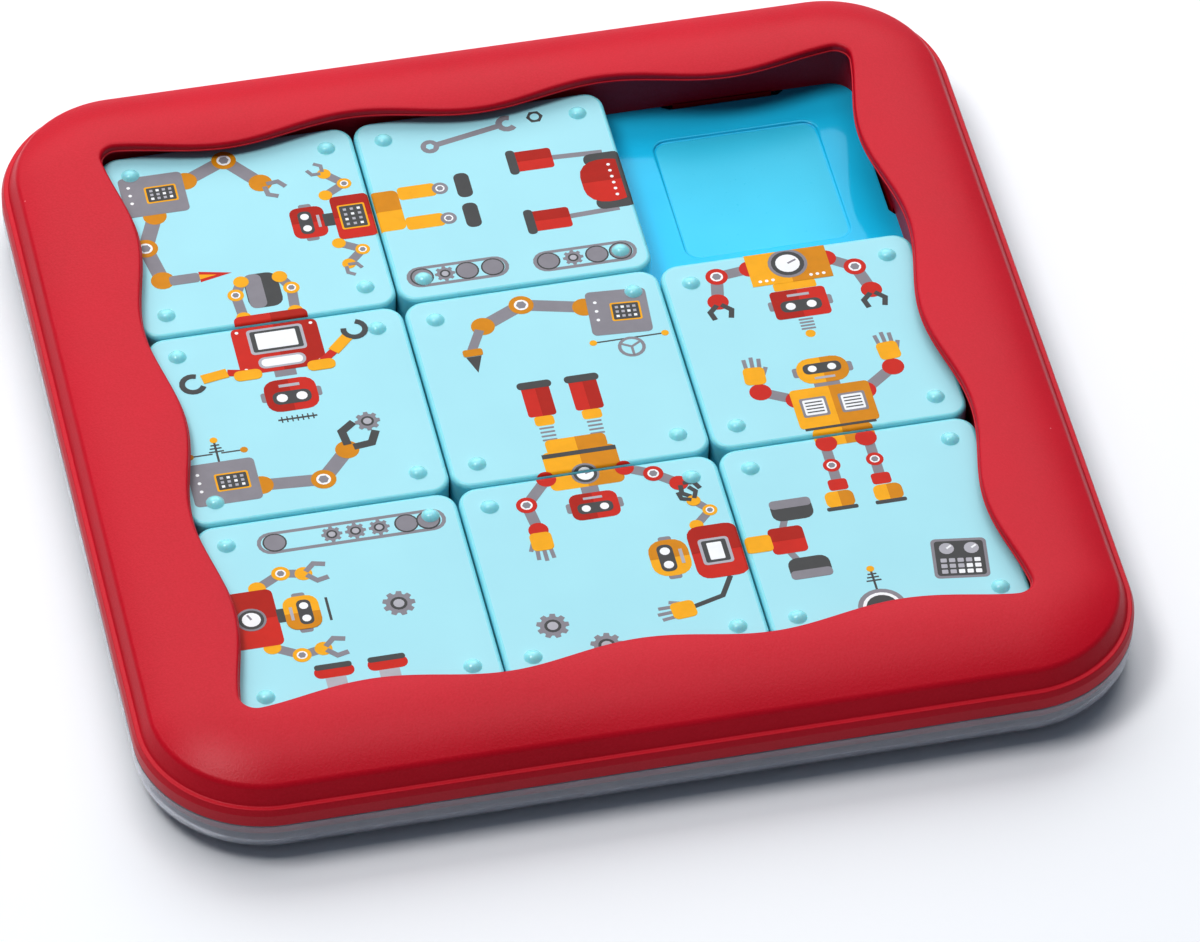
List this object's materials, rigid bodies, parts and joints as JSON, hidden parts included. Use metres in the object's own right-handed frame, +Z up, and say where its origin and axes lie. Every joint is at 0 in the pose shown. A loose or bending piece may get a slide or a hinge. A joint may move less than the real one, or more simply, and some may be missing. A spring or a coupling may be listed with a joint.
{
  "type": "sliding tile puzzle",
  "caption": "Square sliding tile puzzle: studded picture tiles slide in a shallow tray under the wavy lip of a raised frame, with an empty cell to move into, on a clear lid.",
  "frame": {"origin": "centre of the lid's underside, on the surface that the puzzle stands on", "axes": "+X to the right along the near edge, +Y from the near edge to the far edge, +Z up"},
  "size_m": [0.2262, 0.2262, 0.0241],
  "materials": {
    "lid_plastic": "clear, polished",
    "frame_plastic": "red, satin gloss",
    "tray_plastic": "bright blue, gloss",
    "tile_plastic": "pale cyan, satin, printed picture"
  },
  "bodies": {
    "lid": {"clear_lid": "lid_plastic"},
    "board": {"red_frame": "frame_plastic", "frame_clips": "frame_plastic", "frame_ribs": "frame_plastic", "blue_tray": "tray_plastic", "tray_ribs": "tray_plastic"},
    "tile_far_left": {"tile_far_left": "tile_plastic"},
    "tile_far_middle": {"tile_far_middle": "tile_plastic"},
    "tile_middle_left": {"tile_middle_left": "tile_plastic"},
    "tile_centre": {"tile_centre": "tile_plastic"},
    "tile_middle_right": {"tile_middle_right": "tile_plastic"},
    "tile_near_left": {"tile_near_left": "tile_plastic"},
    "tile_near_middle": {"tile_near_middle": "tile_plastic"},
    "tile_near_right": {"tile_near_right": "tile_plastic"}
  },
  "joints": [
    {"name": "board_lift", "type": "slide", "parent": "lid", "child": "board", "axis": [0, 0, 1], "range_m": [0, 0.04]},
    {"name": "row_slide", "type": "slide", "parent": "board", "child": "tile_far_middle", "axis": [1, 0, 0], "range_m": [0, 0.06]},
    {"name": "row_follow", "type": "slide", "parent": "board", "child": "tile_far_left", "axis": [1, 0, 0], "range_m": [0, 0.06]},
    {"name": "column_slide", "type": "slide", "parent": "board", "child": "tile_middle_right", "axis": [0, -1, 0], "range_m": [-0.06, 0]},
    {"name": "column_follow", "type": "slide", "parent": "board", "child": "tile_near_right", "axis": [0, -1, 0], "range_m": [-0.06, 0]},
    {"name": "centre_lift", "type": "slide", "parent": "board", "child": "tile_centre", "axis": [0, 0, 1], "range_m": [0, 0.03]},
    {"name": "middle_left_play", "type": "slide", "parent": "board", "child": "tile_middle_left", "axis": [1, 0, 0], "range_m": [-0.0003, 0.0003]},
    {"name": "near_left_play", "type": "slide", "parent": "board", "child": "tile_near_left", "axis": [1, 0, 0], "range_m": [-0.0003, 0.0003]},
    {"name": "near_middle_play", "type": "slide", "parent": "board", "child": "tile_near_middle", "axis": [1, 0, 0], "range_m": [-0.0003, 0.0003]}
  ],
  "couplings": [
    {"joint": "row_follow", "follows": "row_slide", "ratio": 1},
    {"joint": "column_follow", "follows": "column_slide", "ratio": 1}
  ]
}
